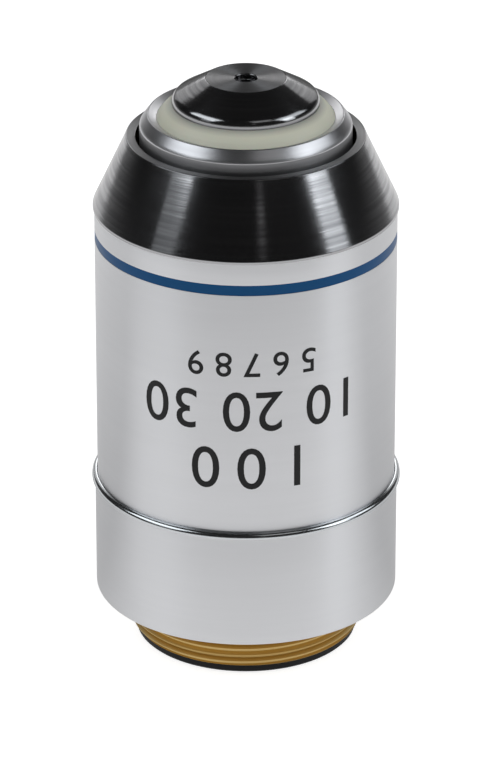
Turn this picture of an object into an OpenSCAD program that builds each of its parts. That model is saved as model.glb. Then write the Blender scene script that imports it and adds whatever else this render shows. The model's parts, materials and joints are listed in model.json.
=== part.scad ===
// Microscope objective with a spring-loaded nose.
// The origin is on the optical axis in the plane of the mounting shoulder, and +Z points to the front lens.

/* [Mounting thread] */
// Major diameter of the mounting thread
thread_d = 25; // [24.8:0.1:25.4]
// Length of the mounting thread below the shoulder
thread_len = 4.7; // [4:0.1:6]
// Chamfer at the thread's lower end
thread_chamfer = 0.35; // [0.2:0.05:0.5]
// How far the black ring's edge lies inside the thread's major diameter
rear_ring_inset = 0.5; // [0.4:0.05:1]
// Wall of the black ring's threaded part inside the tube
rear_ring_wall = 2.5; // [1.5:0.1:3.5]
// Edge break on the black ring
rear_ring_edge = 0.2; // [0.1:0.05:0.4]
// How far the black ring stands below the thread
rear_ring_h = 0.9; // [0.6:0.1:1.4]
// Length of the black ring's threaded part inside the tube
rear_ring_spigot_h = 2; // [1.5:0.1:3]
// How far the black ring's spanner slots run out from its hole
rear_slot_reach = 2; // [1.5:0.1:2.4]
// Depth of the black ring's spanner slots
rear_slot_depth = 0.5; // [0.3:0.1:1]

/* [Outer sleeves] */
// Wall of the main sleeve
sleeve_wall = 1.72; // [1.6:0.02:1.9]
// How far the base sleeve stands proud of the main sleeve
base_step = 0.25; // [0.15:0.05:0.4]
// Height of the base sleeve above the shoulder
base_h = 12.75; // [11:0.05:14]
// Thickness of the lip under the base sleeve that the tube seats on
base_lip_h = 1.5; // [1:0.1:2.5]
// Edge break on the base sleeve
base_edge = 0.2; // [0.1:0.05:0.4]
// How far the polished bead ring stands proud of the base sleeve
bead_step = 0.35; // [0.2:0.05:0.5]
// Height of the polished bead ring
bead_h = 0.65; // [0.5:0.05:1]
// Height of the main sleeve
sleeve_h = 30.9; // [29:0.1:33]
// Height of the blue ring
band_h = 1.15; // [0.8:0.05:1.6]
// Depth of the groove that the blue ring fills
band_depth = 0.12; // [0.08:0.02:0.2]
// Distance from the blue ring up to the cone
band_drop = 2.4; // [2:0.1:3.2]

/* [Cone cap] */
// How far the cone's edge stands proud of the main sleeve
cone_step = 0.15; // [0.1:0.05:0.3]
// Height of the straight edge under the cone
cone_land_h = 0.3; // [0.2:0.05:0.6]
// Height of the cone from the sleeve to its rim
cone_h = 8.05; // [7.5:0.05:9]
// Width of the rim round the cone's mouth
rim_w = 1; // [0.8:0.01:1.2]
// Radius of the rim's rounded outer edge
rim_round = 0.2; // [0.1:0.05:0.3]
// Height of the straight bore in the cone's mouth
mouth_h = 1.5; // [1.2:0.1:2]
// Running gap between the cone's mouth and the nose collar
mouth_gap = 0.42; // [0.3:0.02:0.6]
// Wall of the cap's threaded skirt
skirt_wall = 0.9; // [0.7:0.05:1]
// Length of the cap's threaded skirt inside the sleeve
skirt_h = 3.7; // [3:0.1:4.5]
// Height above the sleeve at which the cap's inside starts to narrow
cavity_rise = 0.9; // [0.5:0.1:1.3]

/* [Mount tube] */
// Step from the thread out to the tube's seat
neck_step = 0.4; // [0.3:0.05:0.6]
// Width of the tube's seat on the base sleeve's lip
seat_w = 1.5; // [1.3:0.05:1.8]
// Wall of the tube round the guide bore
tube_wall = 1.2; // [1.1:0.05:1.3]
// How far the tube ends below the top of the sleeve
tube_setback = 1.1; // [0.8:0.1:1.5]
// Running clearance on the radius between tube and barrel
run_gap = 0.05; // [0.03:0.01:0.08]
// Clearance on the radius between pieces that screw or push together
fit_gap = 0.03; // [0.02:0.01:0.05]

/* [Sprung barrel] */
// Travel of the nose
travel = 2.2; // [1.5:0.1:2.8]
// Room left under the collar at the end of the travel
end_gap = 0.2; // [0.1:0.05:0.4]
// Height of the stop ring
stop_ring_h = 2.2; // [1.8:0.1:2.8]
// Room on the radius between the stop ring and the barrel's neck
stop_ring_gap = 0.7; // [0.4:0.05:0.9]
// Step that the stop ring is screwed down on
stop_step = 0.35; // [0.25:0.05:0.5]
// Height of the barrel's guide land
land_h = 10.9; // [9.8:0.1:12]
// Step from the guide land in to the barrel's neck
neck_drop = 2.85; // [2.7:0.05:3]
// Room on the radius for the spring, between the barrel's tail and the guide bore
spring_room = 2.7; // [2.4:0.05:2.8]
// How far the tail passes below the spring's seat
tail_reach = 2; // [1.5:0.1:2.4]
// Length of the spring as fitted
spring_len = 21.1; // [20:0.1:22]
// Wire diameter of the spring
wire_d = 1; // [0.8:0.05:1.2]
// Turns between the spring's closed ends
spring_turns = 6; // [5:1:8]
// Closed turns at each end of the spring
closed_turns = 1; // [1:1:2]
// Diameter of the guide screw
guide_screw_d = 2; // [1.6:0.1:2.4]
// Height of the guide screw above the bottom of the land
guide_screw_rise = 5.9; // [5:0.1:6.5]
// Depth of the keyway in the land
keyway_depth = 1.05; // [0.9:0.05:1.3]
// Clearance on each side of the guide screw in its keyway
keyway_gap = 0.15; // [0.1:0.05:0.3]
// Wall of the barrel's neck round the lens cells
barrel_wall = 1.3; // [1.2:0.05:1.5]
// Width of the barrel's lip over the lens cells
throat_lip_w = 2; // [1.8:0.05:2.2]
// Height of the barrel's throat that holds the nose cap
throat_h = 5.5; // [4.5:0.1:5.6]
// Diameter of the centring screws
centring_screw_d = 1.4; // [1.2:0.1:1.6]
// Distance of the centring screws below the barrel's throat
centring_drop = 1.1; // [1:0.1:1.5]
// Number of centring screws
centring_count = 3; // [3:1:4]
// Width of the spanner slots in the screwed rings
slot_w = 1.5; // [1:0.1:2]
// Depth of the spanner slots
slot_depth = 0.8; // [0.5:0.1:0.8]
// Width of the driver slots in the screws
driver_slot_w = 0.4; // [0.3:0.05:0.5]
// Depth of the driver slots in the screws
driver_slot_depth = 0.4; // [0.3:0.05:0.5]

/* [Nose] */
// Wall of the nose collar round the barrel's neck
collar_wall = 0.95; // [0.8:0.05:1.1]
// Height of the collar's side above the cone's rim
collar_rise = 1.2; // [0.9:0.05:1.4]
// Width of the bevel on the collar
collar_bevel_w = 0.13; // [0.08:0.01:0.2]
// Height of the bevel on the collar
collar_bevel_h = 0.25; // [0.15:0.05:0.35]
// Width of the collar's sloping band
collar_slope_w = 0.75; // [0.6:0.05:0.9]
// Height of the collar's sloping band
collar_slope_h = 1; // [0.8:0.05:1.2]
// Width of the collar's dished top, from its crest in to the plastic ring
collar_dish_w = 0.94; // [0.8:0.02:1.1]
// Depth of the collar's dished top
collar_dish_h = 0.37; // [0.25:0.01:0.5]
// Thickness of the collar's roof under the plastic ring
collar_roof_h = 3; // [2.5:0.1:3.5]
// Depth of the recess that the plastic ring sits in
cushion_depth = 1.43; // [1.2:0.01:1.6]
// Height of the plastic ring's slope above the collar's dished top
cushion_rise = 1.47; // [1.3:0.01:1.6]
// How far the plastic ring's slope bulges
cushion_bulge = 0.16; // [0.05:0.01:0.25]
// Width of the plastic ring's slope
cushion_w = 1.6; // [1.4:0.05:1.8]
// Height of the nose cap's lip
cap_lip_h = 0.35; // [0.25:0.05:0.5]
// Height of the nose cap's shoulder over its lip
cap_shoulder_h = 0.87; // [0.7:0.01:1]
// Width of the nose cap's shoulder
cap_shoulder_w = 0.68; // [0.5:0.02:0.8]
// Height of the nose cap's cone
cap_cone_h = 1.63; // [1.4:0.01:1.9]
// Width of the nose cap's cone
cap_cone_w = 2.85; // [2.6:0.01:3.1]
// Width of the front face's lip over the front lens
hole_lip_w = 0.62; // [0.4:0.02:0.8]
// Thickness of the front face over the lens
face_wall = 0.45; // [0.35:0.05:0.6]
// Length of the nose cap's threaded part
cap_spigot_h = 9.9; // [9:0.1:10.5]
// Wall of the nose cap's threaded part
cap_wall = 1.35; // [1.2:0.05:1.5]

/* [Lenses] */
// Diameter of the front lens
front_lens_d = 3.6; // [3.4:0.1:4]
// How much larger the front lens's ball radius is than its edge
front_ball_over = 0.1; // [0.05:0.05:0.3]
// Depth of the ball's middle behind the front lens's flat face
front_ball_depth = 0.95; // [0.8:0.05:1.1]
// Depth of the front lens's seat
front_seat_h = 1.3; // [1.1:0.1:1.5]
// How far below the nose cap's lip its wide bore ends
cap_bore_drop = 1.9; // [1.7:0.1:2.2]
// Height of the meniscus lens's cell
meniscus_cell_h = 3.8; // [3.6:0.1:4.2]
// Wall of the meniscus lens's cell
meniscus_cell_wall = 0.96; // [0.8:0.02:1.1]
// Width of the lip at the top of the meniscus lens's cell
meniscus_lip_w = 1; // [0.7:0.1:1.2]
// Thickness of the lip at the top of the meniscus lens's cell
meniscus_lip_h = 0.9; // [0.7:0.1:1.1]
// Edge thickness of the meniscus lens
meniscus_edge = 1.3; // [1.1:0.1:1.5]
// Depth of the meniscus lens's hollow side
meniscus_hollow_h = 0.75; // [0.5:0.05:0.9]
// How much larger the ball radius of the meniscus lens's round side is than its edge
meniscus_ball_over = 1.4; // [1:0.1:2]
// Width of the ring under the meniscus lens
meniscus_ring_w = 0.4; // [0.3:0.05:0.6]
// Height of the lock ring in the nose cap
front_lock_h = 1.5; // [1.2:0.1:1.8]
// Width of the lock ring in the nose cap
front_lock_w = 1.2; // [1:0.1:1.5]
// Height of the centring cell
centring_cell_h = 7.5; // [7.2:0.1:8]
// Room on the radius round the centring cell
centring_room = 0.4; // [0.3:0.05:0.5]
// Wall of the centring cell
centring_cell_wall = 2; // [1.8:0.1:2.2]
// Height of the front doublet's round top
front_top_h = 2.2; // [1.9:0.1:2.4]
// Height of the front doublet's cemented face
front_cement_h = 1.9; // [1.7:0.1:2.2]
// Height of the front doublet's flint lens
front_flint_h = 3.2; // [3:0.1:3.5]
// Height of the front spacer
front_spacer_h = 3.5; // [3:0.1:4]
// Height of the middle cell
middle_cell_h = 6.5; // [6.3:0.1:7]
// Wall of the middle cell
middle_cell_wall = 1.95; // [1.7:0.05:2.2]
// Height of the middle doublet's round top
middle_top_h = 1.6; // [1.3:0.1:1.8]
// Height of the middle doublet's cemented face
middle_cement_h = 1.7; // [1.5:0.1:1.9]
// Height of the middle doublet's flint lens
middle_flint_h = 2.9; // [2.8:0.1:3.2]
// Height of the rear spacer
rear_spacer_h = 7; // [6.5:0.1:7.5]
// Height of the rear cell
rear_cell_h = 7.5; // [7:0.1:8]
// Wall of the rear cell
rear_cell_wall = 1.75; // [1.6:0.05:2]
// Height of the rear lens's round side
rear_round_h = 2; // [1.7:0.1:2.2]
// Depth of the rear lens's hollow side
rear_hollow_h = 2.2; // [1.8:0.1:2.4]
// Width of the flat edge round the rear lens's hollow side
rear_hollow_edge = 0.6; // [0.5:0.05:0.7]
// Width of the lips at the top of the cells
cell_lip_w = 0.7; // [0.6:0.05:0.9]
// Thickness of the lips at the top of the cells
cell_lip_h = 1.2; // [1:0.1:1.5]
// Width of the spacers' and lock ring's rims under the lenses
rim_under = 0.65; // [0.6:0.05:0.8]
// Height of the lens stack's lock ring
lens_lock_h = 2.5; // [2:0.1:2.8]
// Layer of cement or air between glass faces
cement_gap = 0.02; // [0.01:0.01:0.04]

/* [Hidden] */
$fn = 96;

// Small length by which a cutter passes the face it cuts
past = 1;
// Facets along a rounded edge and along a bulged slope
round_steps = 8;
// Sides of the spring's wire, and rings of points in each turn
wire_sides = 8;
turn_steps = 20;

// Radii of the thread end, the mount tube and the sleeves, from the thread out
thread_r = thread_d / 2;
rear_ring_r = thread_r - rear_ring_inset;
neck_seat_r = thread_r + neck_step;
tube_r = neck_seat_r + seat_w;
sleeve_bore_r = tube_r + fit_gap;
skirt_r = sleeve_bore_r + skirt_wall;
sleeve_r = sleeve_bore_r + sleeve_wall;
band_r = sleeve_r - band_depth;
base_r = sleeve_r + base_step;
bead_r = base_r + bead_step;
cone_r = sleeve_r + cone_step;

// Radii of the tube's bores and of the barrel, from the tube in
guide_bore_r = tube_r - tube_wall;
stop_bore_r = guide_bore_r + stop_step;
tail_r = guide_bore_r - spring_room;
tail_bore_r = tail_r + run_gap;
rear_spigot_r = tail_bore_r - fit_gap;
rear_hole_r = rear_spigot_r - rear_ring_wall;
land_r = guide_bore_r - run_gap;
neck_r = land_r - neck_drop;
stop_hole_r = neck_r + stop_ring_gap;
cell_bore_r = neck_r - barrel_wall;
cell_r = cell_bore_r - fit_gap;
throat_r = cell_bore_r - throat_lip_w;

// Radii of the nose and of the cone's mouth round it
collar_r = neck_r + fit_gap + collar_wall;
collar_slope_r = collar_r - collar_bevel_w;
collar_top_r = collar_slope_r - collar_slope_w;
cushion_r = collar_top_r - collar_dish_w - fit_gap;
cap_lip_r = cushion_r - cushion_w;
cap_cone_r = cap_lip_r - cap_shoulder_w;
face_r = cap_cone_r - cap_cone_w;
cap_spigot_r = throat_r - fit_gap;
cap_bore_r = cap_spigot_r - cap_wall;
mouth_r = collar_r + mouth_gap;
rim_r = mouth_r + rim_w;

// Radii of the lenses and of the clear openings in front of them
front_lens_r = front_lens_d / 2;
front_seat_r = front_lens_r + fit_gap;
hole_r = front_lens_r - hole_lip_w;
meniscus_r = cap_bore_r - meniscus_cell_wall - 2 * fit_gap;
meniscus_open_r = meniscus_r - meniscus_lip_w;
meniscus_ring_r = meniscus_r - meniscus_ring_w;
meniscus_round_h = ball_rise(meniscus_r + meniscus_ball_over, meniscus_r);
centring_cell_r = cell_bore_r - centring_room;
front_doublet_r = centring_cell_r - centring_cell_wall - fit_gap;
middle_doublet_r = cell_r - middle_cell_wall - fit_gap;
rear_lens_r = cell_r - rear_cell_wall - fit_gap;

// Heights of the outer pieces
bead_z = base_h;
sleeve_z = bead_z + bead_h;
sleeve_top_z = sleeve_z + sleeve_h;
cone_top_z = sleeve_top_z + cone_h;
band_top_z = sleeve_top_z - band_drop;
band_z = band_top_z - band_h;
skirt_z = sleeve_top_z - skirt_h;

// Heights of the tube, the stop ring and the barrel's lower half
tube_top_z = sleeve_top_z - tube_setback;
land_top_z = tube_top_z - stop_ring_h;
land_z = land_top_z - land_h;
spring_z = land_z - spring_len;
tail_z = spring_z - tail_reach;
guide_screw_z = land_z + guide_screw_rise;

// Pitch of the spring's closed turns and of its open ones
closed_pitch = wire_d + fit_gap;
open_pitch = (spring_len - wire_d - 2 * closed_turns * closed_pitch) / spring_turns;

// Heights of the nose
collar_z = tube_top_z + travel + end_gap;
collar_edge_z = cone_top_z + collar_rise;
collar_bevel_z = collar_edge_z + collar_bevel_h;
collar_top_z = collar_bevel_z + collar_slope_h;
collar_dish_z = collar_top_z - collar_dish_h;
cushion_z = collar_dish_z - cushion_depth;
barrel_top_z = cushion_z - collar_roof_h;
cap_z = collar_dish_z + cushion_rise;
cap_lip_z = cap_z + cap_lip_h;
cap_cone_z = cap_lip_z + cap_shoulder_h;
face_z = cap_cone_z + cap_cone_h;
lens_face_z = face_z - face_wall;
cap_bore_z = cap_z - cap_bore_drop;
front_seat_z = lens_face_z - front_seat_h;

// Heights of the lens stack, from the barrel's throat down
stack_z = barrel_top_z - throat_h;
centring_cell_z = stack_z - centring_cell_h;
front_spacer_z = centring_cell_z - front_spacer_h;
middle_cell_z = front_spacer_z - middle_cell_h;
rear_spacer_z = middle_cell_z - rear_spacer_h;
rear_cell_z = rear_spacer_z - rear_cell_h;
lens_lock_z = rear_cell_z - lens_lock_h;
centring_screw_z = stack_z - centring_drop;

// Heights of the meniscus lens and its ring
meniscus_cell_z = cap_bore_z - meniscus_cell_h;
meniscus_top_z = cap_bore_z - meniscus_lip_h;
meniscus_low_z = meniscus_top_z - meniscus_edge;
meniscus_ring_top_z = meniscus_low_z
    - seat_drop(meniscus_r, meniscus_round_h, meniscus_ring_r) - cement_gap;

// Radius of the ball whose face rises by h over a circle of radius r
function ball_rad(r, h) = (r * r + h * h) / (2 * h);

// How far the face of a ball of radius rad rises over a circle of radius r
function ball_rise(rad, r) = rad - sqrt(rad * rad - r * r);

// Height from a round face's edge to where it touches a seat of radius seat_r
function seat_drop(r, h, seat_r) =
    h - ball_rise(ball_rad(r, h), seat_r);

// Points from p to q on a slope that bulges by b, ends included
function bowed(p, q, b) =
    let (n = [q[1] - p[1], p[0] - q[0]] / norm(q - p))
    [for (i = [0:round_steps])
        let (t = i / round_steps)
        p + (q - p) * t + n * 4 * b * t * (1 - t)];

// Points of a half-round edge of radius r that looks outwards from x
function half_round(x, z, r) =
    [for (i = [0:round_steps])
        let (a = -90 + 180 * i / round_steps)
        [x + r * cos(a), z + r * sin(a)]];

// Points of an edge of radius r, rounded from the side at x over to the top at z
function round_over(x, z, r) =
    [for (i = [0:round_steps])
        let (a = 90 * i / round_steps)
        [x - r + r * cos(a), z - r + r * sin(a)]];

// Height of the spring's wire after t turns
function wire_z(t) =
    spring_z + wire_d / 2
    + min(t, closed_turns) * closed_pitch
    + min(max(t - closed_turns, 0), spring_turns) * open_pitch
    + max(t - closed_turns - spring_turns, 0) * closed_pitch;

// A turned piece from its half section
module turned(outline) {
    rotate_extrude() polygon(outline);
}

// A plain ring
module ring(r_in, r_out, z, h) {
    translate([0, 0, z]) difference() {
        cylinder(r = r_out, h = h);
        translate([0, 0, -past]) cylinder(r = r_in, h = h + 2 * past);
    }
}

// Cutter for a pair of spanner slots of one depth, in the end face of a ring at height z
module spanner_slots(reach, z, depth) {
    translate([-reach, -slot_w / 2, z - depth]) cube([2 * reach, slot_w, 2 * depth]);
}

// Cutter for the driver slot in the head of a screw of diameter d that ends at height z
module driver_slot(d, z) {
    translate([-d, -driver_slot_w / 2, z - driver_slot_depth]) cube([2 * d, driver_slot_w, 2 * driver_slot_depth]);
}

// A cell that is open at the bottom, with a lip round its clear opening at the top
module lens_cell(r_out, lens_r, open_r, z, h, lip_h) {
    turned([
        [lens_r + fit_gap, z],
        [r_out, z],
        [r_out, z + h],
        [open_r, z + h],
        [open_r, z + h - lip_h],
        [lens_r + fit_gap, z + h - lip_h]
    ]);
}

// A ball that bulges down, or up, by h from the circle of radius r at height z
module ball_under(r, h, z) {
    rad = ball_rad(r, h);
    translate([0, 0, z + rad - h]) sphere(r = rad);
}
module ball_over(r, h, z) {
    rad = ball_rad(r, h);
    translate([0, 0, z - rad + h]) sphere(r = rad);
}

// The upper lens of a cemented pair, with an edge from low_z to high_z, low_h deep below and high_h high above
module crown_lens(r, low_z, high_z, low_h, high_h) {
    intersection() {
        translate([0, 0, low_z - low_h - past]) cylinder(r = r, h = high_z - low_z + low_h + high_h + 2 * past);
        ball_under(r, low_h, low_z);
        ball_over(r, high_h, high_z);
    }
}

// The lower lens of a cemented pair, flat below and h hollow above
module flint_lens(r, low_z, high_z, h) {
    rad = ball_rad(r, h);
    difference() {
        translate([0, 0, low_z]) cylinder(r = r, h = high_z - low_z);
        translate([0, 0, high_z + rad - h]) sphere(r = rad + cement_gap);
    }
}

// The brass tube with the mounting thread, the spring's seat and the guide bore
module mount_tube() {
    color("#9a7436") difference() {
        turned([
            [tail_bore_r, -thread_len],
            [thread_r - thread_chamfer, -thread_len],
            [thread_r, -thread_len + thread_chamfer],
            [thread_r, 0],
            [neck_seat_r, 0],
            [neck_seat_r, base_lip_h],
            [tube_r, base_lip_h],
            [tube_r, tube_top_z],
            [stop_bore_r, tube_top_z],
            [stop_bore_r, land_top_z],
            [guide_bore_r, land_top_z],
            [guide_bore_r, spring_z],
            [tail_bore_r, spring_z]
        ]);
        translate([0, 0, guide_screw_z]) rotate([-90, 0, 0])
            cylinder(d = guide_screw_d + 2 * fit_gap, h = tube_r + past);
    }
}

// The black ring in the thread end
module rear_ring() {
    low_z = -thread_len - rear_ring_h;
    color("#141416") difference() {
        turned([
            [rear_hole_r, low_z],
            [rear_ring_r - rear_ring_edge, low_z],
            [rear_ring_r, low_z + rear_ring_edge],
            [rear_ring_r, -thread_len],
            [rear_spigot_r, -thread_len],
            [rear_spigot_r, -thread_len + rear_ring_spigot_h],
            [rear_hole_r, -thread_len + rear_ring_spigot_h]
        ]);
        spanner_slots(rear_hole_r + rear_slot_reach, low_z, rear_slot_depth);
    }
}

// The satin base sleeve, whose lower face is the mounting shoulder
module base_sleeve() {
    color("#b8b9bb") turned([
        [neck_seat_r + fit_gap, 0],
        [base_r - base_edge, 0],
        [base_r, base_edge],
        [base_r, base_h],
        [sleeve_bore_r, base_h],
        [sleeve_bore_r, base_lip_h],
        [neck_seat_r + fit_gap, base_lip_h]
    ]);
}

// The thin polished ring between base and sleeve
module bead_ring() {
    edge_r = bead_h / 2;
    color("#8f9296") turned(concat(
        [[sleeve_bore_r, bead_z]],
        half_round(bead_r - edge_r, bead_z + edge_r, edge_r),
        [[sleeve_bore_r, sleeve_z]]
    ));
}

// The satin main sleeve with the groove for the blue ring
module outer_sleeve() {
    color("#b6b8ba") turned([
        [sleeve_bore_r, sleeve_z],
        [sleeve_r, sleeve_z],
        [sleeve_r, band_z],
        [band_r, band_z],
        [band_r, band_top_z],
        [sleeve_r, band_top_z],
        [sleeve_r, sleeve_top_z],
        [skirt_r + fit_gap, sleeve_top_z],
        [skirt_r + fit_gap, skirt_z],
        [sleeve_bore_r, skirt_z]
    ]);
}

// The blue enamel ring
module blue_band() {
    color("#1d62a0") ring(band_r, sleeve_r, band_z, band_h);
}

// The dark polished conical cap
module cone_cap() {
    land_z = sleeve_top_z + cone_land_h;
    color("#26272b") turned(concat(
        [[sleeve_bore_r, skirt_z], [skirt_r, skirt_z], [skirt_r, sleeve_top_z]],
        [[cone_r, sleeve_top_z], [cone_r, land_z]],
        round_over(rim_r, cone_top_z, rim_round),
        [[mouth_r, cone_top_z], [mouth_r, cone_top_z - mouth_h]],
        [[sleeve_bore_r, sleeve_top_z + cavity_rise]]
    ));
}

// The screwed ring that stops the barrel
module stop_ring() {
    color("#8a6a35") difference() {
        ring(stop_hole_r, stop_bore_r - fit_gap, land_top_z, stop_ring_h);
        spanner_slots(stop_bore_r, tube_top_z, slot_depth);
    }
}

// The screw whose tip runs in the barrel's keyway
module guide_screw() {
    tip_r = land_r - keyway_depth + keyway_gap;
    head_r = tube_r - fit_gap;
    color("#77797d") translate([0, 0, guide_screw_z]) rotate([-90, 0, 0]) difference() {
        translate([0, 0, tip_r]) cylinder(d = guide_screw_d, h = head_r - tip_r);
        driver_slot(guide_screw_d, head_r);
    }
}

// The coil spring, closed at both ends, swept as one wire
module return_spring() {
    mean_r = guide_bore_r - spring_room / 2;
    steps = (spring_turns + 2 * closed_turns) * turn_steps;
    points = [for (i = [0:steps], j = [0:wire_sides - 1])
        let (t = i / turn_steps, a = 360 * t, b = 360 * j / wire_sides)
        [(mean_r + wire_d / 2 * cos(b)) * cos(a), (mean_r + wire_d / 2 * cos(b)) * sin(a),
            wire_z(t) + wire_d / 2 * sin(b)]];
    sides = [for (i = [0:steps - 1], j = [0:wire_sides - 1])
        let (k = (j + 1) % wire_sides, p = i * wire_sides, q = (i + 1) * wire_sides)
        each [[p + j, q + k, q + j], [p + j, p + k, q + k]]];
    first = [for (j = [wire_sides - 1:-1:0]) j];
    last = [for (j = [0:wire_sides - 1]) steps * wire_sides + j];
    color("#9a9ca0") polyhedron(points, concat(sides, [first, last]));
}

// The sliding barrel that carries the nose and every lens
module inner_barrel() {
    screw_w = guide_screw_d + 2 * keyway_gap;
    keyway_top_z = guide_screw_z + travel + screw_w / 2;
    color("#8e6d38") difference() {
        turned([
            [cell_bore_r, tail_z],
            [tail_r, tail_z],
            [tail_r, land_z],
            [land_r, land_z],
            [land_r, land_top_z],
            [neck_r, land_top_z],
            [neck_r, barrel_top_z],
            [throat_r, barrel_top_z],
            [throat_r, stack_z],
            [cell_bore_r, stack_z]
        ]);
        translate([-screw_w / 2, land_r - keyway_depth, land_z - past])
            cube([screw_w, keyway_depth + past, keyway_top_z - land_z + past]);
        for (i = [0:centring_count - 1])
            rotate(i * 360 / centring_count) translate([0, 0, centring_screw_z]) rotate([0, 90, 0])
                cylinder(d = centring_screw_d + 2 * fit_gap, h = neck_r + past);
    }
}

// The set screws that centre the front doublet's cell
module centring_screws() {
    head_r = neck_r - fit_gap;
    color("#6d6f73") for (i = [0:centring_count - 1])
        rotate(i * 360 / centring_count) translate([0, 0, centring_screw_z]) rotate([0, 90, 0]) difference() {
            translate([0, 0, centring_cell_r]) cylinder(d = centring_screw_d, h = head_r - centring_cell_r);
            driver_slot(centring_screw_d, head_r);
        }
}

// The silver collar on the barrel's neck, with a raised crest round its dished top
module nose_collar() {
    color("#a3a6aa") turned([
        [neck_r + fit_gap, collar_z],
        [collar_r, collar_z],
        [collar_r, collar_edge_z],
        [collar_slope_r, collar_bevel_z],
        [collar_top_r, collar_top_z],
        [cushion_r + fit_gap, collar_dish_z],
        [cushion_r + fit_gap, cushion_z],
        [throat_r, cushion_z],
        [throat_r, barrel_top_z],
        [neck_r + fit_gap, barrel_top_z]
    ]);
}

// The pale plastic ring under the nose cap
module cushion_ring() {
    color("#acada3") turned(concat(
        [[throat_r, cushion_z], [cushion_r, cushion_z]],
        bowed([cushion_r, collar_dish_z], [cap_lip_r, cap_z], cushion_bulge),
        [[throat_r, cap_z]]
    ));
}

// The dark polished nose with the front lens's seat
module nose_cap() {
    spigot_z = cap_z - cap_spigot_h;
    color("#2b2c30") turned([
        [cap_bore_r, spigot_z],
        [cap_spigot_r, spigot_z],
        [cap_spigot_r, cap_z],
        [cap_lip_r, cap_z],
        [cap_lip_r, cap_lip_z],
        [cap_cone_r, cap_cone_z],
        [face_r, face_z],
        [hole_r, face_z],
        [hole_r, lens_face_z],
        [front_seat_r, lens_face_z],
        [front_seat_r, front_seat_z],
        [meniscus_open_r, cap_bore_z],
        [cap_bore_r, cap_bore_z]
    ]);
}

// The front lens, flat to the specimen and ball-shaped behind
module front_lens() {
    rad = front_lens_r + front_ball_over;
    color("#9fb6c4") intersection() {
        translate([0, 0, lens_face_z - 2 * rad]) cylinder(r = front_lens_r, h = 2 * rad);
        translate([0, 0, lens_face_z - front_ball_depth]) sphere(r = rad);
    }
}

// The meniscus lens, hollow towards the front lens
module meniscus_lens() {
    tip_z = meniscus_low_z - meniscus_round_h - past;
    color("#a8bfcc") difference() {
        intersection() {
            translate([0, 0, tip_z]) cylinder(r = meniscus_r, h = meniscus_top_z - tip_z);
            ball_under(meniscus_r, meniscus_round_h, meniscus_low_z);
        }
        ball_under(meniscus_open_r, meniscus_hollow_h, meniscus_top_z);
    }
}

// The cell of the meniscus lens
module meniscus_cell() {
    color("#232326")
        lens_cell(cap_bore_r - fit_gap, meniscus_r, meniscus_open_r, meniscus_cell_z, meniscus_cell_h,
            meniscus_lip_h);
}

// The ring that holds the meniscus lens in its cell
module meniscus_ring() {
    color("#2c2c30") ring(meniscus_ring_r, meniscus_r, meniscus_cell_z, meniscus_ring_top_z - meniscus_cell_z);
}

// The screwed ring that holds that cell in the nose cap
module front_lock_ring() {
    low_z = meniscus_cell_z - front_lock_h;
    color("#2c2c30") difference() {
        ring(cap_bore_r - front_lock_w, cap_bore_r - fit_gap, low_z, front_lock_h);
        spanner_slots(cap_bore_r, low_z, slot_depth);
    }
}

// The front doublet's cell, held in the middle by the centring screws
module centring_cell() {
    color("#26262a")
        lens_cell(centring_cell_r, front_doublet_r, front_doublet_r - cell_lip_w, centring_cell_z,
            centring_cell_h, cell_lip_h);
}

// The front doublet's upper lens
module front_crown_lens() {
    r = front_doublet_r;
    high_z = stack_z - cell_lip_h - seat_drop(r, front_top_h, r - cell_lip_w) - cement_gap;
    color("#a8bfcc") crown_lens(r, centring_cell_z + front_flint_h, high_z, front_cement_h, front_top_h);
}

// The front doublet's lower lens
module front_flint_lens() {
    color("#9db4c2")
        flint_lens(front_doublet_r, centring_cell_z, centring_cell_z + front_flint_h, front_cement_h);
}

// The spacer between the front and middle cells, which the front doublet rests on
module front_spacer() {
    color("#303035") ring(front_doublet_r - rim_under, cell_r, front_spacer_z, front_spacer_h);
}

// The middle doublet's cell
module middle_cell() {
    color("#26262a")
        lens_cell(cell_r, middle_doublet_r, middle_doublet_r - cell_lip_w, middle_cell_z, middle_cell_h,
            cell_lip_h);
}

// The middle doublet's upper lens
module middle_crown_lens() {
    r = middle_doublet_r;
    high_z = front_spacer_z - cell_lip_h - seat_drop(r, middle_top_h, r - cell_lip_w) - cement_gap;
    color("#a8bfcc") crown_lens(r, middle_cell_z + middle_flint_h, high_z, middle_cement_h, middle_top_h);
}

// The middle doublet's lower lens
module middle_flint_lens() {
    color("#9db4c2")
        flint_lens(middle_doublet_r, middle_cell_z, middle_cell_z + middle_flint_h, middle_cement_h);
}

// The spacer between the middle and rear cells, which the middle doublet rests on
module rear_spacer() {
    color("#303035") ring(middle_doublet_r - rim_under, cell_r, rear_spacer_z, rear_spacer_h);
}

// The rear lens's cell
module rear_cell() {
    color("#26262a")
        lens_cell(cell_r, rear_lens_r, rear_lens_r - cell_lip_w, rear_cell_z, rear_cell_h, cell_lip_h);
}

// The thick rear lens, round towards the front and hollow towards the eyepiece
module rear_lens() {
    r = rear_lens_r;
    high_z = rear_spacer_z - cell_lip_h - seat_drop(r, rear_round_h, r - cell_lip_w) - cement_gap;
    color("#a8bfcc") difference() {
        intersection() {
            translate([0, 0, rear_cell_z]) cylinder(r = r, h = high_z - rear_cell_z + rear_round_h + past);
            ball_over(r, rear_round_h, high_z);
        }
        ball_over(r - rear_hollow_edge, rear_hollow_h, rear_cell_z);
    }
}

// The screwed ring that holds the whole lens stack
module lens_lock_ring() {
    color("#1f1f22") difference() {
        ring(rear_lens_r - rim_under, cell_r, lens_lock_z, lens_lock_h);
        spanner_slots(cell_bore_r, lens_lock_z, slot_depth);
    }
}

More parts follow.
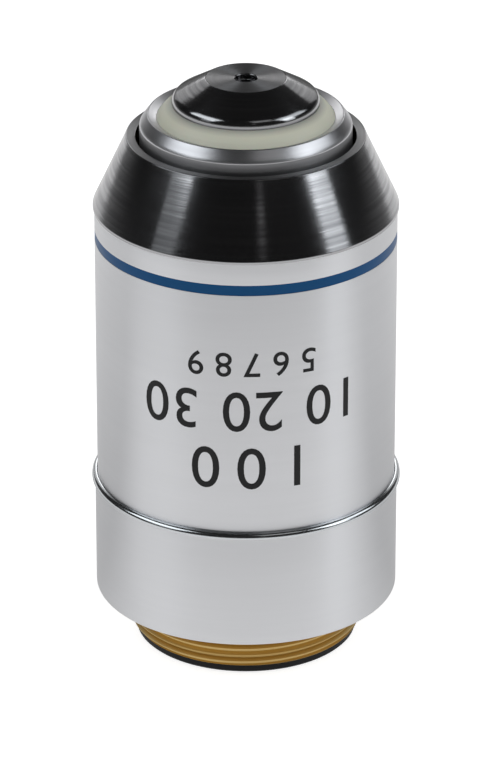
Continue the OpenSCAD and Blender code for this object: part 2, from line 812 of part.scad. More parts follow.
mount_tube();
rear_ring();
base_sleeve();
bead_ring();
outer_sleeve();
blue_band();
cone_cap();
stop_ring();
guide_screw();
return_spring();
inner_barrel();
nose_collar();
cushion_ring();
nose_cap();
front_lens();
meniscus_lens();
meniscus_cell();
meniscus_ring();
front_lock_ring();
centring_cell();
centring_screws();
front_crown_lens();
front_flint_lens();
front_spacer();
middle_cell();
middle_crown_lens();
middle_flint_lens();
rear_spacer();
rear_cell();
rear_lens();
lens_lock_ring();
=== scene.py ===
"""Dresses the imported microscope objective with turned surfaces, its thread, numerals, finishes and light."""
import json
import math

import bmesh
import bpy
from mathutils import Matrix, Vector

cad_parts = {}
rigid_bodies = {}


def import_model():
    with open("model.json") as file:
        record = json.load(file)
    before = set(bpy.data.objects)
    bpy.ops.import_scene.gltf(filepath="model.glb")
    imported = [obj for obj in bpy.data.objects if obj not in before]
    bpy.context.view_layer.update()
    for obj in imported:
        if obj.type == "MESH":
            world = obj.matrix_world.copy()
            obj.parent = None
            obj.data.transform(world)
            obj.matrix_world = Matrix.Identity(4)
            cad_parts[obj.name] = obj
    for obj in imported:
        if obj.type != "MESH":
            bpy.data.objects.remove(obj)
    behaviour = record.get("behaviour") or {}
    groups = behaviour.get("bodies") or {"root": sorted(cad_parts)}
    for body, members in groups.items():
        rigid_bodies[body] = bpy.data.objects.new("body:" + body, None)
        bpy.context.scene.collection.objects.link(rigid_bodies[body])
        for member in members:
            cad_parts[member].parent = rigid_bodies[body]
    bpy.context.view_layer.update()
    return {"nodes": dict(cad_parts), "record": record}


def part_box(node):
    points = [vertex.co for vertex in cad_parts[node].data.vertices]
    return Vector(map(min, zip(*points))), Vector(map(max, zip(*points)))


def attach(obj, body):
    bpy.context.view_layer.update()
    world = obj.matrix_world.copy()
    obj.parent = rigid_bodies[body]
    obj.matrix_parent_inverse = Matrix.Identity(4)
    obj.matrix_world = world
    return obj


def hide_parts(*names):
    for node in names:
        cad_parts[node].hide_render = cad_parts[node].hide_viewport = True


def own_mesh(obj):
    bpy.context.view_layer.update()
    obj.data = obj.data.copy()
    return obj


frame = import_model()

MM = 0.001
AROUND = 192                        # steps round a turned piece
SAME_POINT = 1e-8                   # metres
SLIVER = 0.002 * MM
SMOOTH_BELOW = math.radians(25)


# ---------------------------------------------------------------- working in edit mode
def clear_selection():
    """Leaves no object selected and none active."""
    for o in bpy.context.view_layer.objects:
        o.select_set(False)
    bpy.context.view_layer.objects.active = None


def work_on(piece):
    """Makes this piece the only one selected, and the active one."""
    clear_selection()
    piece.select_set(True)
    bpy.context.view_layer.objects.active = piece


def pick(piece, wanted, kind="verts"):
    """Selects the vertices, edges or faces of a piece in edit mode for which wanted(element) is true."""
    mesh = bmesh.from_edit_mesh(piece.data)
    bpy.ops.mesh.select_all(action="DESELECT")
    for e in [e for e in getattr(mesh, kind) if wanted(e)]:
        e.select = True
    mesh.select_flush_mode()
    bmesh.update_edit_mesh(piece.data)


def half_section(name, outline):
    """Draws a closed outline of (radius, height, corner rounding) in mm, in edit mode, by extruding one point."""
    points = [(r * MM, z * MM, c * MM) for r, z, c in outline]
    clear_selection()
    bpy.ops.mesh.primitive_plane_add(size=MM, location=(points[0][0], 0, points[0][1]))
    piece = bpy.context.object
    piece.name = piece.data.name = name
    bpy.ops.object.transform_apply(location=True)
    bpy.ops.object.mode_set(mode="EDIT")
    bpy.ops.mesh.select_all(action="SELECT")
    bpy.ops.mesh.merge(type="CENTER")
    for (r0, z0, _), (r1, z1, _) in zip(points, points[1:]):
        bpy.ops.mesh.extrude_region_move(TRANSFORM_OT_translate={"value": (r1 - r0, 0, z1 - z0)})
    pick(piece, lambda v: len(v.link_edges) == 1)
    bpy.ops.mesh.edge_face_add()
    for r, z, corner in points:
        if corner > 0:
            pick(piece, lambda v: abs(v.co.x - r) < SAME_POINT and abs(v.co.z - z) < SAME_POINT)
            bpy.ops.mesh.bevel(offset_type="OFFSET", offset=corner, segments=6, affect="VERTICES")
    bpy.ops.mesh.select_all(action="SELECT")
    return piece


def turned(name, outline):
    """Turns a half section about the optical axis."""
    piece = half_section(name, outline)
    bpy.ops.mesh.spin(steps=AROUND, angle=2 * math.pi, center=(0, 0, 0), axis=(0, 0, 1), use_auto_merge=True)
    finish_mesh(piece)
    return piece


def finish_mesh(piece, merge=SAME_POINT):
    """Closes seams and turns the faces outwards, in edit mode, then shades the piece."""
    bpy.ops.mesh.select_all(action="SELECT")
    bpy.ops.mesh.remove_doubles(threshold=merge)
    bpy.ops.mesh.normals_make_consistent(inside=False)
    bpy.ops.object.mode_set(mode="OBJECT")
    work_on(piece)
    bpy.ops.object.shade_smooth_by_angle(angle=SMOOTH_BELOW)


def apply_modifier(piece, kind, **values):
    """Puts a modifier with these settings on a piece and applies it."""
    work_on(piece)
    modifier = piece.modifiers.new(kind.lower(), kind)
    for key, value in values.items():
        setattr(modifier, key, value)
    bpy.ops.object.modifier_apply(modifier=modifier.name)


def joined(parts, name):
    """Joins objects into one piece and goes into edit mode."""
    clear_selection()
    for part in parts:
        part.select_set(True)
    piece = parts[0]
    bpy.context.view_layer.objects.active = piece
    bpy.ops.object.join()
    piece.name = piece.data.name = name
    bpy.ops.object.mode_set(mode="EDIT")
    return piece


def wear(piece, material):
    """Gives a piece this one material."""
    piece.data.materials.clear()
    piece.data.materials.append(material)


def place(piece, body, slot, node):
    """Puts a finished piece on its body, in the finish of its slot, in place of a CAD node."""
    wear(piece, FINISHES[slot])
    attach(piece, body)
    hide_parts(node)


def dress(piece, material, wanted):
    """Gives a second material to the faces for which wanted(face) is true."""
    piece.data.materials.append(material)
    work_on(piece)
    bpy.ops.object.mode_set(mode="EDIT")
    pick(piece, wanted, "faces")
    piece.active_material_index = len(piece.data.materials) - 1
    bpy.ops.object.material_slot_assign()
    bpy.ops.object.mode_set(mode="OBJECT")


# ---------------------------------------------------------------- finishes
def wire(tree, *links):
    """Links each pair of output and input."""
    for a, b in links:
        tree.links.new(a, b)


def math_node(tree, operation, a, b=None, clamp=False):
    """The result of a sum on one or two numbers or outputs."""
    node = tree.nodes.new("ShaderNodeMath")
    node.operation = operation
    node.use_clamp = clamp
    for socket, value in zip(node.inputs, (a, b)):
        if value is None:
            continue
        if isinstance(value, (int, float)):
            socket.default_value = value
        else:
            tree.links.new(value, socket)
    return node.outputs[0]


def ramp(tree, value, low, high, at_low, at_high):
    """Leads evenly from one number to another while value goes from low to high, and holds them outside."""
    node = tree.nodes.new("ShaderNodeMapRange")
    for title, number in (("From Min", low), ("From Max", high), ("To Min", at_low), ("To Max", at_high)):
        node.inputs[title].default_value = number
    tree.links.new(value, node.inputs["Value"])
    return node.outputs[0]


def new_group(name, inputs, outputs):
    """A node group of plain numbers, with the sockets of its input and output nodes."""
    group = bpy.data.node_groups.new(name, "ShaderNodeTree")
    for title, value in inputs:
        group.interface.new_socket(title, in_out="INPUT", socket_type="NodeSocketFloat").default_value = value
    for title in outputs:
        group.interface.new_socket(title, in_out="OUTPUT", socket_type="NodeSocketFloat")
    return group, group.nodes.new("NodeGroupInput").outputs, group.nodes.new("NodeGroupOutput").inputs


def axis_distance(tree):
    """X, Y, the distance from the optical axis and Z, in the object's own coordinates."""
    split = tree.nodes.new("ShaderNodeSeparateXYZ")
    wire(tree, (tree.nodes.new("ShaderNodeTexCoord").outputs["Object"], split.inputs[0]))
    x, y, z = split.outputs
    return x, y, math_node(tree, "SQRT", math_node(tree, "ADD", math_node(tree, "MULTIPLY", x, x),
                                                   math_node(tree, "MULTIPLY", y, y))), z


def along_outline(tree):
    """Height minus radius: runs along every turned face that a tool has passed over."""
    x, y, radius, z = axis_distance(tree)
    return x, y, math_node(tree, "SUBTRACT", z, radius)


def turning_marks():
    """Fine rings left by the tool: Height for a bump, Mask for tone and roughness."""
    tree, given, result = new_group("Turning marks", [("Lines", 6000.0), ("Drift", 0.03), ("Detail", 4.0)],
                                    ["Height", "Mask"])
    x, y, along = along_outline(tree)
    lines = tree.nodes.new("ShaderNodeCombineXYZ")
    wire(tree, (math_node(tree, "MULTIPLY", x, given["Drift"]), lines.inputs[0]),
         (math_node(tree, "MULTIPLY", y, given["Drift"]), lines.inputs[1]), (along, lines.inputs[2]))
    noise = tree.nodes.new("ShaderNodeTexNoise")
    noise.inputs["Roughness"].default_value = 0.6
    wire(tree, (lines.outputs[0], noise.inputs["Vector"]), (given["Lines"], noise.inputs["Scale"]),
         (given["Detail"], noise.inputs["Detail"]))
    broad = tree.nodes.new("ShaderNodeTexNoise")
    broad.inputs["Detail"].default_value = 3.0
    wire(tree, (lines.outputs[0], broad.inputs["Vector"]),
         (math_node(tree, "MULTIPLY", given["Lines"], 0.2), broad.inputs["Scale"]))
    wire(tree, (noise.outputs["Fac"], result["Height"]),
         (ramp(tree, broad.outputs["Fac"], 0.35, 0.65, 0.0, 1.0), result["Mask"]))
    return tree


def hand_haze():
    """Faint cloudy patches where the piece has been handled."""
    tree, given, result = new_group("Hand haze", [("Patches", 160.0), ("Contrast", 0.5)], ["Mask"])
    coords = tree.nodes.new("ShaderNodeTexCoord").outputs["Object"]
    noise = tree.nodes.new("ShaderNodeTexNoise")
    noise.inputs["Detail"].default_value = 5.0
    noise.inputs["Distortion"].default_value = 0.6
    wire(tree, (coords, noise.inputs["Vector"]), (given["Patches"], noise.inputs["Scale"]))
    centred = math_node(tree, "SUBTRACT", noise.outputs["Fac"], 0.5)
    wire(tree, (math_node(tree, "ADD", math_node(tree, "MULTIPLY", centred, given["Contrast"]), 0.5, clamp=True),
                result["Mask"]))
    return tree


def dust():
    """Sparse small specks."""
    tree, given, result = new_group("Dust", [("Density", 900.0), ("Size", 0.06)], ["Mask"])
    coords = tree.nodes.new("ShaderNodeTexCoord").outputs["Object"]
    cells = tree.nodes.new("ShaderNodeTexVoronoi")
    wire(tree, (coords, cells.inputs["Vector"]), (given["Density"], cells.inputs["Scale"]))
    speck = math_node(tree, "LESS_THAN", cells.outputs["Distance"], given["Size"])
    split = tree.nodes.new("ShaderNodeSeparateColor")
    wire(tree, (cells.outputs["Color"], split.inputs[0]))
    some = math_node(tree, "GREATER_THAN", split.outputs[0], 0.8)
    wire(tree, (math_node(tree, "MULTIPLY", speck, some), result["Mask"]))
    return tree


MARKS, HAZE, DUST = turning_marks(), hand_haze(), dust()


class Finish:
    """One material: a Principled shader whose tone, roughness and normal vary over the surface."""

    def __init__(self, name, color, rough, metallic=0.0, **fixed):
        self.material = bpy.data.materials.new(name)
        self.material.use_nodes = True
        self.tree = self.material.node_tree
        self.shader = self.tree.nodes["Principled BSDF"]
        self.shader.inputs["Metallic"].default_value = metallic
        for title, value in fixed.items():
            self.shader.inputs[title.replace("_", " ")].default_value = value
        rgb = self.tree.nodes.new("ShaderNodeRGB")
        rgb.outputs[0].default_value = (*color, 1)
        self.color = rgb.outputs[0]
        self.rough = rough

    def group(self, tree, **values):
        """The outputs of a node group with these inputs."""
        node = self.tree.nodes.new("ShaderNodeGroup")
        node.node_tree = tree
        for title, value in values.items():
            node.inputs[title].default_value = value
        return node.outputs

    def tone(self, mask, color, amount):
        """Mixes in another colour where the mask is high."""
        mix = self.tree.nodes.new("ShaderNodeMix")
        mix.data_type = "RGBA"
        mix.inputs[7].default_value = (*color, 1)
        wire(self.tree, (self.color, mix.inputs[6]), (math_node(self.tree, "MULTIPLY", mask, amount), mix.inputs[0]))
        self.color = mix.outputs[2]

    def roughen(self, mask, amount):
        """Makes the surface duller where the mask is high."""
        self.rough = math_node(self.tree, "ADD", self.rough, math_node(self.tree, "MULTIPLY", mask, amount))

    def marks(self, height, depth):
        """Tilts the surface as if it rose and fell by depth, in metres."""
        bump = self.tree.nodes.new("ShaderNodeBump")
        bump.inputs["Distance"].default_value = depth
        wire(self.tree, (height, bump.inputs["Height"]), (bump.outputs[0], self.shader.inputs["Normal"]))

    def done(self):
        wire(self.tree, (self.color, self.shader.inputs["Base Color"]))
        if isinstance(self.rough, float):
            self.shader.inputs["Roughness"].default_value = self.rough
        else:
            wire(self.tree, (self.rough, self.shader.inputs["Roughness"]))
        return self.material


def machined(name, color, rough, dark, lines, drift, depth, tone, streak, haze=0.05, **fixed):
    """A turned metal, with rings from the tool and haze from hands."""
    f = Finish(name, color, rough, metallic=1.0, **fixed)
    marks = f.group(MARKS, Lines=lines, Drift=drift)
    patches = f.group(HAZE)
    f.tone(marks["Mask"], dark, tone)
    f.roughen(marks["Mask"], streak)
    f.roughen(patches["Mask"], haze)
    f.marks(marks["Height"], depth)
    return f.done()


satin_silver = machined("satin silver", (0.755, 0.76, 0.78), 0.29, (0.735, 0.74, 0.76), 12000, 0.02, 0.0000004,
                        0.3, 0.015, Anisotropic=0.9, Anisotropic_Rotation=0.25)
dark_chrome = machined("dark turned chrome", (0.44, 0.44, 0.45), 0.11, (0.22, 0.22, 0.23), 6000, 0.01, 0.0000065,
                       0.8, 0.05, haze=0.02, Anisotropic=0.6, Anisotropic_Rotation=0.25)
faced_chrome = machined("faced dark chrome", (0.5, 0.5, 0.51), 0.4, (0.4, 0.4, 0.41), 9000, 0.01, 0.000006,
                        0.6, 0.1, Anisotropic=0.85, Anisotropic_Rotation=0.25)
bright_metal = machined("bright turned metal", (0.66, 0.66, 0.68), 0.28, (0.58, 0.58, 0.6), 9000, 0.02, 0.000002,
                        0.4, 0.05, Anisotropic=0.3, Anisotropic_Rotation=0.25)
# painted shade: a rougher copy of the collar's metal at half its colour, for the walls down in the gap under the
# cone's rim
dull_shaded_metal = machined("dull turned metal with painted shade", (0.33, 0.33, 0.34), 0.42, (0.26, 0.26, 0.27), 9000, 0.02, 0.000003,
                      0.5, 0.05, Anisotropic=0.6, Anisotropic_Rotation=0.25)
polished_metal = machined("polished bead", (0.66, 0.68, 0.7), 0.12, (0.5, 0.52, 0.54), 6000, 0.03, 0.0000005,
                          0.3, 0.03)
brass = machined("turned brass", (0.64, 0.46, 0.19), 0.25, (0.48, 0.32, 0.11), 5000, 0.03, 0.000002, 0.7, 0.1)
spring_steel = machined("spring steel", (0.5, 0.5, 0.52), 0.3, (0.4, 0.4, 0.42), 3000, 0.5, 0.000001, 0.5, 0.1)
screw_steel = machined("screw steel", (0.4, 0.4, 0.42), 0.3, (0.3, 0.3, 0.32), 4000, 0.2, 0.000001, 0.5, 0.1)


def painted(name, color, other, rough, grain, depth, shade=None, **fixed):
    """Paint or plastic: faint cloudy tone, fine grain, a little dust, and if wanted painted shade that fades
    outwards between two radii in mm."""
    f = Finish(name, color, rough, **fixed)
    patches = f.group(HAZE, Patches=220.0, Contrast=1.2)
    fine = f.group(HAZE, Patches=grain, Contrast=1.0)
    specks = f.group(DUST)
    f.tone(patches["Mask"], other, 0.5)
    if shade:
        (inner, outer), grey, amount = shade
        f.tone(ramp(f.tree, axis_distance(f.tree)[2], inner * MM, outer * MM, 1.0, 0.0), grey, amount)
    f.tone(specks["Mask"], (0.6, 0.6, 0.58), 0.35)
    f.roughen(patches["Mask"], 0.08)
    f.marks(fine["Mask"], depth)
    return f.done()


black_metal = painted("black anodised", (0.012, 0.012, 0.013), (0.02, 0.02, 0.021), 0.5, 9000, 0.000004,
                      Specular_IOR_Level=0.2)
blue_enamel = painted("blue enamel", (0.004, 0.095, 0.27), (0.003, 0.08, 0.225), 0.3, 2500, 0.000003,
                      Specular_IOR_Level=0.2)
# painted shade: the cream turns greyer inside 8.6 mm, towards the nose cap, as if shaded where it meets the cap
cream_plastic = painted("cream plastic", (0.77, 0.77, 0.64), (0.7, 0.7, 0.57), 0.36, 4000, 0.000006,
                        shade=((7.9, 8.6), (0.34, 0.34, 0.32), 0.7), Subsurface_Weight=0.1, Subsurface_Scale=0.001)
ink_black = painted("black filling", (0.006, 0.006, 0.007), (0.01, 0.01, 0.011), 0.35, 6000, 0.000003,
                    Specular_IOR_Level=0.3)


def lens_glass():
    """Clear coated glass with a few specks of dust."""
    f = Finish("coated glass", (0.93, 0.96, 0.97), 0.0, Transmission_Weight=1.0, IOR=1.52,
               Thin_Film_Thickness=130.0, Thin_Film_IOR=1.38)
    specks = f.group(DUST, Density=2500.0, Size=0.05)
    f.tone(specks["Mask"], (0.7, 0.7, 0.7), 0.3)
    f.roughen(specks["Mask"], 0.2)
    return f.done()


FINISHES = {"brass": brass, "satin_silver": satin_silver, "polished_metal": polished_metal,
            "bright_metal": bright_metal, "dark_chrome": dark_chrome, "blue_enamel": blue_enamel,
            "pale_plastic": cream_plastic, "black_metal": black_metal, "spring_steel": spring_steel,
            "screw_steel": screw_steel, "optical_glass": lens_glass()}
for row in frame["record"]["subparts"]:
    wear(frame["nodes"][row["node"]], FINISHES[row["material_slot"]])

# ---------------------------------------------------------------- turned pieces, in mm: (radius, height, rounding)
base = turned("base_sleeve_turned", [
    (12.93, 0, 0), (16.4, 0, 0.2), (16.4, 12.75, 0.05), (14.43, 12.75, 0), (14.43, 1.5, 0), (12.93, 1.5, 0)])
place(base, "housing", "satin_silver", "base_sleeve")

bead = turned("bead_ring_turned", [
    (14.43, 12.75, 0), (16.75, 12.75, 0.04), (16.75, 13.4, 0.57), (14.43, 13.4, 0)])
place(bead, "housing", "polished_metal", "bead_ring")

sleeve = turned("outer_sleeve_turned", [
    (14.43, 13.4, 0), (16.15, 13.4, 0.05), (16.15, 40.75, 0.02), (16.03, 40.75, 0), (16.03, 41.9, 0),
    (16.15, 41.9, 0.02), (16.15, 44.3, 0.04), (15.36, 44.3, 0), (15.36, 40.6, 0), (14.43, 40.6, 0)])
place(sleeve, "housing", "satin_silver", "outer_sleeve")

band = turned("blue_band_filled", [
    (16.03, 40.75, 0), (16.14, 40.75, 0.05), (16.14, 41.9, 0.05), (16.03, 41.9, 0)])
place(band, "housing", "blue_enamel", "blue_band")

cone = turned("cone_cap_turned", [
    (14.43, 40.6, 0), (15.33, 40.6, 0), (15.33, 44.3, 0), (16.3, 44.3, 0.06), (16.3, 44.6, 0.08),
    (12.7, 52.35, 0.08), (11.7, 52.35, 0.08), (11.7, 50.85, 0), (14.43, 45.2, 0)])
place(cone, "housing", "dark_chrome", "cone_cap")
dress(cone, faced_chrome, lambda f: f.normal.z > 0.999 and f.calc_center_median().z > 52.3 * MM)

collar = turned("nose_collar_turned", [
    (10.33, 45.6, 0), (11.28, 45.6, 0.1), (11.28, 53.55, 0.1), (11.15, 53.8, 0.1), (10.4, 54.8, 0.12),
    (9.46, 54.43, 0), (9.46, 53, 0), (7.0, 53, 0), (7.0, 50, 0), (10.33, 50, 0)])
place(collar, "nose", "bright_metal", "nose_collar")
# painted shade: the collar's upright walls take the darker copy of its metal, as if shaded in the gap
dress(collar, dull_shaded_metal, lambda f: abs(f.normal.z) < 0.01 and f.calc_center_median().z > 46 * MM)

cushion = turned("cushion_ring_turned", [
    (7.0, 53, 0), (9.43, 53, 0), (9.43, 54.43, 0), (9.13, 54.87, 0.1), (8.74, 55.28, 0.2), (8.29, 55.63, 0.1),
    (7.83, 55.9, 0.05), (7.0, 55.9, 0)])
place(cushion, "nose", "pale_plastic", "cushion_ring")

cap = turned("nose_cap_turned", [
    (5.62, 46, 0), (6.97, 46, 0), (6.97, 55.9, 0), (7.83, 55.9, 0.04), (7.83, 56.73, 0.57),
    (4.3, 58.75, 0.07), (1.18, 58.75, 0.12), (1.18, 58.3, 0), (1.83, 58.3, 0), (1.83, 57.0, 0), (3.6, 54, 0),
    (5.62, 54, 0)])
place(cap, "nose", "dark_chrome", "nose_cap")
dress(cap, faced_chrome, lambda f: f.normal.z > 0.999 and f.calc_center_median().z > 58.7 * MM)

# ---------------------------------------------------------------- thread, cut into the tube, in mm
THREAD_R, PITCH, THREAD_DEPTH, FLANK = 12.5, 0.75, 0.46, math.radians(30)
TUBE_END = -4.7
CUTTER_LEAD, CUTTER_TURNS, CUTTER_PAST = 1.05, 7, 0.06
GUIDE_HOLE_R, GUIDE_HOLE_Z = 1.03, 36
tube = turned("mount_tube_threaded", [
    (10.55, TUBE_END, 0), (12.15, TUBE_END, 0), (THREAD_R, -4.35, 0), (THREAD_R, -0.9, 0), (12.0, -0.75, 0.1),
    (12.0, 0, 0),
    (12.9, 0, 0), (12.9, 1.5, 0), (14.4, 1.5, 0), (14.4, 43.2, 0), (13.55, 43.2, 0), (13.55, 41, 0),
    (13.2, 41, 0), (13.2, 9, 0), (10.55, 9, 0)])


def wind(piece, pitch, turns, steps):
    """Winds a section about the optical axis as a right-handed helix; pitch in mm."""
    apply_modifier(piece, "SCREW", angle=2 * math.pi, screw_offset=pitch * MM, iterations=turns, steps=steps,
                   render_steps=steps, use_normal_calculate=True)


def thread_cutter():
    """A V-shaped wire wound as a right-handed helix, from below the tube's end up into the relief groove.
    Its turns stay clear of each other and both its ends are closed, or else the cut can fail."""
    foot, back = THREAD_R - THREAD_DEPTH, THREAD_R + CUTTER_PAST
    root = PITCH / 12
    mouth = root + (back - foot) * math.tan(FLANK)
    low = TUBE_END - CUTTER_LEAD
    cutter = half_section("thread_cutter", [(foot, low - root, 0), (back, low - mouth, 0),
                                            (back, low + mouth, 0), (foot, low + root, 0)])
    bpy.ops.object.mode_set(mode="OBJECT")
    wind(cutter, PITCH, CUTTER_TURNS, 96)
    bpy.ops.object.mode_set(mode="EDIT")
    bpy.ops.mesh.select_all(action="SELECT")
    bpy.ops.mesh.fill_holes(sides=4)
    finish_mesh(cutter)
    return cutter


def cut_with(piece, cutter):
    """Cuts another object's form out of a piece, and deletes the cutter."""
    apply_modifier(piece, "BOOLEAN", operation="DIFFERENCE", object=cutter, solver="EXACT")
    bpy.data.objects.remove(cutter)


cut_with(tube, thread_cutter())
clear_selection()
bpy.ops.mesh.primitive_cylinder_add(
    vertices=48, radius=GUIDE_HOLE_R * MM, depth=4 * MM, location=(0, 14 * MM, GUIDE_HOLE_Z * MM),
    rotation=(math.radians(90), 0, 0))
cut_with(tube, bpy.context.object)
work_on(tube)
bpy.ops.object.mode_set(mode="EDIT")
bpy.ops.mesh.select_all(action="SELECT")
bpy.ops.mesh.dissolve_degenerate(threshold=SLIVER)
bpy.ops.mesh.remove_doubles(threshold=SLIVER)
bpy.ops.mesh.delete_loose()
bpy.ops.mesh.select_all(action="SELECT")
bpy.ops.mesh.fill_holes(sides=0)
finish_mesh(tube)
place(tube, "housing", "brass", "mount_tube")

# ---------------------------------------------------------------- the return spring, in mm
SPRING_LOW, SPRING_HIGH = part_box("return_spring")
WIRE_R = 0.5
CLOSED_PITCH = 1.03
OPEN_TURNS = 6


def coil(height, pitch, turns):
    """A length of the spring's round wire; height and pitch in mm."""
    clear_selection()
    bpy.ops.mesh.primitive_circle_add(
        vertices=20, radius=WIRE_R * MM, rotation=(math.radians(90), 0, 0),
        location=(SPRING_HIGH.x - WIRE_R * MM, 0, height * MM))
    wound = bpy.context.object
    bpy.ops.object.transform_apply(location=True, rotation=True)
    wind(wound, pitch, turns, 72)
    return wound


spring_length = (SPRING_HIGH.z - SPRING_LOW.z) / MM
first_turn = SPRING_LOW.z / MM + WIRE_R
open_pitch = (spring_length - 2 * WIRE_R - 2 * CLOSED_PITCH) / OPEN_TURNS
last_turn = first_turn + CLOSED_PITCH + open_pitch * OPEN_TURNS
spring = joined([coil(first_turn, CLOSED_PITCH, 1), coil(first_turn + CLOSED_PITCH, open_pitch, OPEN_TURNS),
                 coil(last_turn, CLOSED_PITCH, 1)], "return_spring_wound")
bpy.ops.mesh.select_all(action="SELECT")
bpy.ops.mesh.remove_doubles(threshold=0.001 * MM)
bpy.ops.mesh.fill_holes(sides=0)
finish_mesh(spring)
place(spring, "housing", "spring_steel", "return_spring")
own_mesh(spring)

# ---------------------------------------------------------------- numerals on the sleeve
SLEEVE_R = 16.15
NUMERAL_DEPTH, NUMERAL_WEIGHT = 0.02, 0.015
STRIP = 0.35                        # width of the strips that let the numerals bend


def numeral_row(words, size, across, height, spacing=1.0):
    """A row of plain numerals as a thin flat mesh that faces the camera upside down; size and place in mm."""
    clear_selection()
    bpy.ops.object.text_add()
    row = bpy.context.object
    row.data.body = words
    row.data.align_x, row.data.align_y = "CENTER", "CENTER"
    row.data.size = size * MM
    row.data.extrude = NUMERAL_DEPTH * MM
    row.data.offset = NUMERAL_WEIGHT * MM
    row.data.resolution_u = 6
    row.data.space_character = spacing
    work_on(row)
    bpy.ops.object.convert(target="MESH")
    row = bpy.context.object
    row.rotation_euler = (math.radians(90), math.radians(180), 0)
    row.location = (across * MM, 0, height * MM)
    bpy.ops.object.transform_apply(location=True, rotation=True)
    return row


rows = [numeral_row("5 6 7 8 9", 3.9, 0.7, 33.0), numeral_row("10 20 30", 6.5, 0.75, 27.7, 1.07),
        numeral_row("100", 6.8, 0.6, 21.1, 1.45)]
numerals = joined(rows, "sleeve_numerals")
strips = int(max(abs(v.co.x) for v in bmesh.from_edit_mesh(numerals.data).verts) / (STRIP * MM))
for i in range(-strips, strips + 1):
    bpy.ops.mesh.select_all(action="SELECT")
    bpy.ops.mesh.bisect(plane_co=(i * STRIP * MM, 0, 0), plane_no=(1, 0, 0))
finish_mesh(numerals, 1e-9)
xs = [v.co.x for v in numerals.data.vertices]
apply_modifier(numerals, "SIMPLE_DEFORM", deform_method="BEND", deform_axis="Z",
               angle=(max(xs) - min(xs)) / (SLEEVE_R * MM))
numerals.location = (0, -SLEEVE_R * MM, 0)
work_on(numerals)
bpy.ops.object.transform_apply(location=True)
wear(numerals, ink_black)
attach(numerals, "housing")

# ---------------------------------------------------------------- camera
ELEVATION, DISTANCE, AIM_Z, ASIDE = math.radians(24.77), 561.8 * MM, 23.6 * MM, 0.43 * MM
SENSOR, FOCAL_LENGTH = 36.0, 245.67
camera = bpy.data.objects.new("camera", bpy.data.cameras.new("camera"))
bpy.context.scene.collection.objects.link(camera)
camera.data.sensor_width = SENSOR
camera.data.lens = FOCAL_LENGTH
camera.data.clip_start, camera.data.clip_end = 0.01, 20.0
camera.location = (ASIDE, -DISTANCE * math.cos(ELEVATION), AIM_Z + DISTANCE * math.sin(ELEVATION))
camera.rotation_euler = (math.radians(90) - ELEVATION, 0, 0)
bpy.context.scene.camera = camera

# ---------------------------------------------------------------- lamps
LAMPS_AWAY = 3.0
DAYLIGHT = (0.93, 0.97, 1.0)


def softbox(name, azimuth, elevation, wide, high, brightness, color=(1, 1, 1)):
    """A soft lamp that looks at the object; azimuth 0 is the camera's side, and positive is to its right.
    Width and height are for a distance of 1 m."""
    data = bpy.data.lights.new(name, "AREA")
    data.shape, data.size, data.size_y = "RECTANGLE", wide * LAMPS_AWAY, high * LAMPS_AWAY
    data.energy, data.color = brightness * data.size * data.size_y * math.pi, color
    lamp = bpy.data.objects.new(name, data)
    bpy.context.scene.collection.objects.link(lamp)
    a, e = math.radians(azimuth), math.radians(elevation)
    out = (math.sin(a) * math.cos(e), -math.cos(a) * math.cos(e), math.sin(e))
    lamp.location = [LAMPS_AWAY * c for c in out]
    lamp.location.z += AIM_Z
    lamp.rotation_euler = (math.radians(90) - e, 0, a)
    lamp.visible_camera = False


softbox("window_right", 72.5, 24, 0.31, 0.48, 1.35, DAYLIGHT)
softbox("wall_right", 87, 38, 0.87, 0.44, 1.5, DAYLIGHT)
softbox("window_left", -78, 41, 0.8, 0.46, 1.8, DAYLIGHT)
softbox("sill_left", -64.5, 19, 0.3, 0.28, 0.3, DAYLIGHT)
softbox("ceiling", 32, 52, 0.45, 0.3, 0.4)
softbox("back_right", 157, 18, 0.39, 0.46, 0.5)
softbox("back_left", -157, 21, 0.39, 0.54, 0.5)
softbox("strip_right", 165, 21, 0.12, 0.36, 1.6)
softbox("strip_left", -165, 21, 0.12, 0.36, 1.6)
softbox("small_lamp", 13, 29, 0.05, 0.12, 0.28)

# ---------------------------------------------------------------- floor
FLOOR_R, FLOOR_DROP = 0.8, 0.02 * MM
PAPER_TONE, PAPER_GLOW, PAPER_MIRRORED = 0.6, 0.78, 0.87


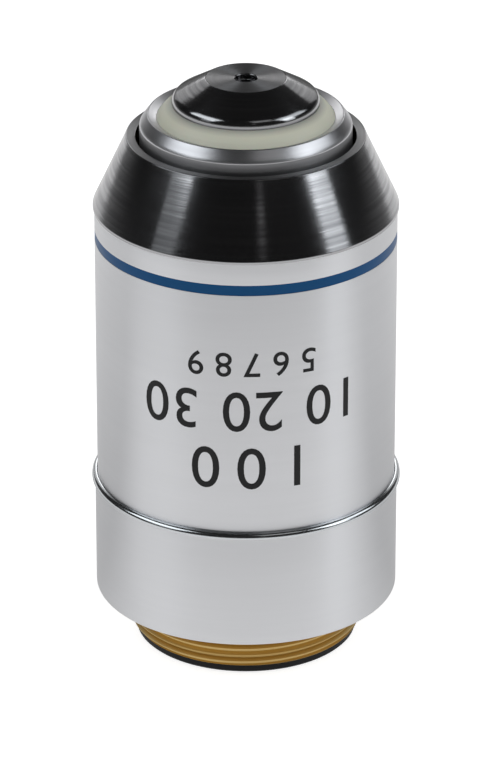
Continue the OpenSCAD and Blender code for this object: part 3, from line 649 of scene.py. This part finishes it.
def white_paper():
    """White to the camera, apart from the object's shadow. Metal mirrors it with painted shade close behind the
    object and a painted dark wedge further back."""
    paper = bpy.data.materials.new("white paper")
    paper.use_nodes = True
    tree = paper.node_tree
    tree.nodes.clear()
    out = tree.nodes.new("ShaderNodeOutputMaterial")
    diffuse = tree.nodes.new("ShaderNodeBsdfDiffuse")
    diffuse.inputs["Color"].default_value = (PAPER_TONE, PAPER_TONE, PAPER_TONE, 1)
    glow = tree.nodes.new("ShaderNodeEmission")
    glow.inputs["Strength"].default_value = PAPER_GLOW
    both = tree.nodes.new("ShaderNodeAddShader")
    mirrored = tree.nodes.new("ShaderNodeEmission")
    x, y, near, z = axis_distance(tree)
    # painted shade: the floor as mirrored in metal is darker close behind the object, as if in its shade
    shaded = math_node(tree, "MULTIPLY", ramp(tree, near, 0.045, 0.17, 0.3, 0.0),
                       ramp(tree, y, -0.015, 0.01, 0.0, 1.0))
    # painted shadow: a dark wedge further back in the mirrored floor, as if something behind cast shade on it
    aside = math_node(tree, "MULTIPLY", math_node(tree, "ABSOLUTE", x), 2.5)
    behind = ramp(tree, math_node(tree, "SUBTRACT", y, aside), 0.1, 0.2, 1.0, 0.1)
    path = tree.nodes.new("ShaderNodeLightPath")
    for_camera, for_metal = tree.nodes.new("ShaderNodeMixShader"), tree.nodes.new("ShaderNodeMixShader")
    wire(tree,
         (math_node(tree, "MULTIPLY", behind, math_node(tree, "SUBTRACT", PAPER_MIRRORED, shaded)),
          mirrored.inputs["Strength"]),
         (diffuse.outputs[0], both.inputs[0]), (glow.outputs[0], both.inputs[1]),
         (math_node(tree, "MAXIMUM", path.outputs["Is Glossy Ray"], path.outputs["Is Transmission Ray"]),
          for_metal.inputs[0]),
         (diffuse.outputs[0], for_metal.inputs[1]), (mirrored.outputs[0], for_metal.inputs[2]),
         (path.outputs["Is Camera Ray"], for_camera.inputs[0]), (for_metal.outputs[0], for_camera.inputs[1]),
         (both.outputs[0], for_camera.inputs[2]), (for_camera.outputs[0], out.inputs[0]))
    return paper


clear_selection()
bpy.ops.mesh.primitive_circle_add(vertices=96, radius=FLOOR_R, fill_type="NGON",
                                  location=(0, 0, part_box("rear_ring")[0].z - FLOOR_DROP))
floor = bpy.context.object
floor.name = "floor"
floor.data.materials.append(white_paper())

# ---------------------------------------------------------------- room
ROOM_LIGHT = 0.35


def background(tree, strength=1.0):
    """A plain white background shader."""
    node = tree.nodes.new("ShaderNodeBackground")
    node.inputs["Color"].default_value = (1, 1, 1, 1)
    node.inputs["Strength"].default_value = strength
    return node


world = bpy.data.worlds.new("room")
bpy.context.scene.world = world
world.use_nodes = True
tree = world.node_tree
tree.nodes.clear()
out = tree.nodes.new("ShaderNodeOutputWorld")
path = tree.nodes.new("ShaderNodeLightPath")
split = tree.nodes.new("ShaderNodeSeparateXYZ")
wire(tree, (tree.nodes.new("ShaderNodeTexCoord").outputs["Generated"], split.inputs[0]))
mirrored, plain, white = background(tree), background(tree, ROOM_LIGHT), background(tree)
reflected = tree.nodes.new("ShaderNodeMixShader")
shown = tree.nodes.new("ShaderNodeMixShader")
wire(tree,
     (math_node(tree, "ADD", ramp(tree, split.outputs[2], 0.0, 0.15, 0.12, 0.0),
                ramp(tree, split.outputs[1], 0.5, 0.91, 0.014, 0.07)), mirrored.inputs["Strength"]),
     (path.outputs["Is Glossy Ray"], reflected.inputs[0]), (plain.outputs[0], reflected.inputs[1]),
     (mirrored.outputs[0], reflected.inputs[2]), (path.outputs["Is Camera Ray"], shown.inputs[0]),
     (reflected.outputs[0], shown.inputs[1]), (white.outputs[0], shown.inputs[2]), (shown.outputs[0], out.inputs[0]))

bpy.context.scene.view_settings.view_transform = "Standard"
